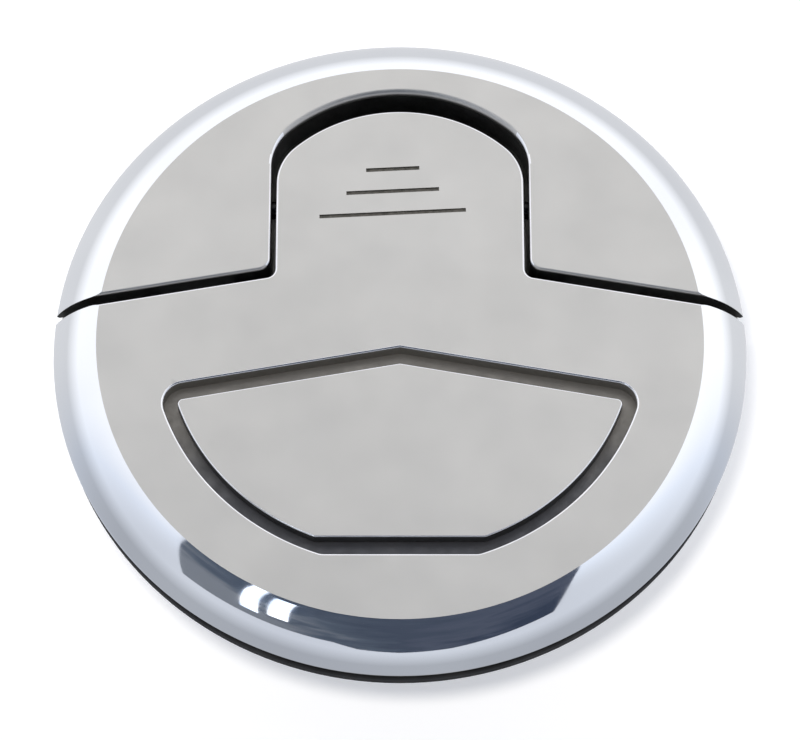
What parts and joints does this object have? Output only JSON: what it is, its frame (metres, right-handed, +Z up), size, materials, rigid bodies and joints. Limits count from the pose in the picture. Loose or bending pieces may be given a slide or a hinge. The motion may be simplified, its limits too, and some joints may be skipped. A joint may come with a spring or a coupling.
{
  "type": "deck fill cap",
  "caption": "Round stainless boat deck filler with a push-tail flap lid, blank inlay plate, quarter-turn cap under the lid and a barbed hose neck.",
  "frame": {"origin": "on the filler neck's axis, in the plane of the deck surface under the gasket", "axes": "+Z up out of the deck, along the filler neck; +Y from the neck towards the hinge and the push tail; +X to the right as seen from the opening side"},
  "size_m": [0.113, 0.113, 0.0726],
  "materials": {
    "satin_stainless": "satin blasted 316 face with a mirror-polished rim",
    "polished_stainless": "polished A4 stainless",
    "cast_stainless": "as-cast and tumbled 316",
    "spring_stainless": "drawn wire and ground pin",
    "nitrile_rubber": "moulded matt",
    "natural_acetal": "machined",
    "black_nylon": "moulded, finely grained",
    "tinned_copper": "tinned strip"
  },
  "bodies": {
    "base": {"deck_gasket": "nitrile_rubber", "base_flange": "cast_stainless", "neck_gasket": "nitrile_rubber", "filler_neck": "cast_stainless", "rear_cover": "satin_stainless", "hinge_pin": "spring_stainless", "hinge_spring": "spring_stainless", "cover_screw_left": "polished_stainless", "cover_screw_right": "polished_stainless", "neck_screw_1": "polished_stainless", "neck_screw_2": "polished_stainless", "neck_screw_3": "polished_stainless", "bonding_tag": "tinned_copper", "bonding_screw": "polished_stainless"},
    "lid": {"lid": "satin_stainless", "ident_plate": "satin_stainless", "plate_nut_left": "spring_stainless", "plate_nut_right": "spring_stainless", "lid_bumper_left": "nitrile_rubber", "lid_bumper_right": "nitrile_rubber", "hinge_bush_left": "natural_acetal", "hinge_bush_right": "natural_acetal"},
    "cap": {"fill_cap": "black_nylon", "cap_o_ring": "nitrile_rubber"}
  },
  "joints": [
    {"name": "lid_hinge", "type": "hinge", "parent": "base", "child": "lid", "pos_m": [0, 0.0258, 0.0043], "axis": [-1, 0, 0], "range_deg": [0, 105], "stiffness_Nm_per_rad": 0.03, "springref_deg": -57.3, "deforming": ["hinge_spring"]},
    {"name": "cap_turn", "type": "hinge", "parent": "base", "child": "cap", "pos_m": [0, 0, 0], "axis": [0, 0, 1], "range_deg": [0, 90]}
  ]
}
